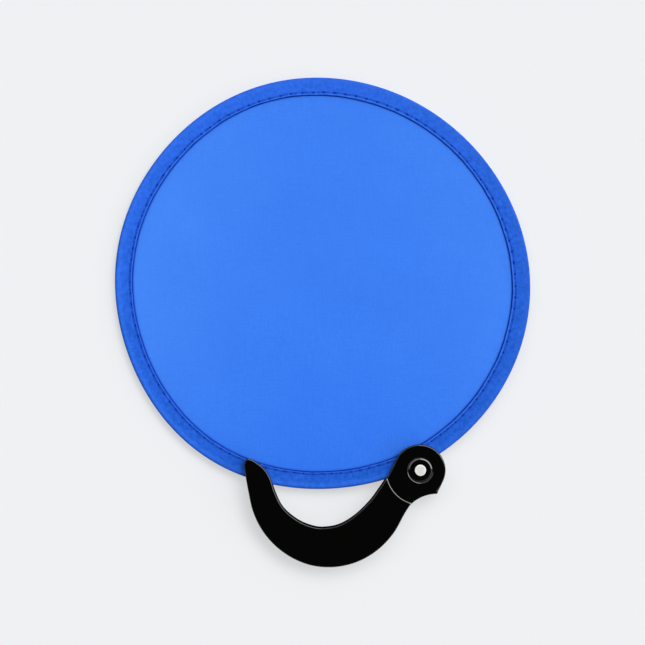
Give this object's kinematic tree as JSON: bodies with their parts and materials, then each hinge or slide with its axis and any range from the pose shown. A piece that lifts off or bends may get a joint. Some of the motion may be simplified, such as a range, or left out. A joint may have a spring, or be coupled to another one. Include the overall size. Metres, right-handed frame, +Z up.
{
  "type": "twist-fold hand fan",
  "caption": "Round twist-fold cloth fan on a spring steel hoop, with a crescent handle of two plastic shells hinged at the rim.",
  "frame": {"origin": "middle of the fan's outline, on the surface that the fan lies on, face up", "axes": "+Z up from the fan's face, +Y from the handle towards the disc's far rim, +X towards the hinge's side"},
  "size_m": [0.2456, 0.2891, 0.0106],
  "materials": {
    "blue_cloth": "smooth plain weave, matt",
    "blue_tape": "soft folded tape, matt",
    "blue_thread": "twisted sewing thread",
    "spring_steel": "blank rolled strip",
    "black_plastic": "glossy moulded",
    "nickel": "satin nickel plate"
  },
  "bodies": {
    "disc": {"fabric_panel": "blue_cloth", "rim_binding": "blue_tape", "needle_thread": "blue_thread", "bobbin_thread": "blue_thread", "spring_hoop": "spring_steel", "hoop_ferrule": "spring_steel", "hub_front": "black_plastic", "hub_rear": "black_plastic", "rivet": "nickel", "rivet_burr": "nickel"},
    "handle": {"handle_front_shell": "black_plastic", "handle_rear_shell": "black_plastic"}
  },
  "joints": [
    {"name": "handle_hinge", "type": "hinge", "parent": "disc", "child": "handle", "pos_m": [0.05824, -0.08761, 0.0053], "axis": [0, 0, 1], "range_deg": [0, 90]}
  ]
}
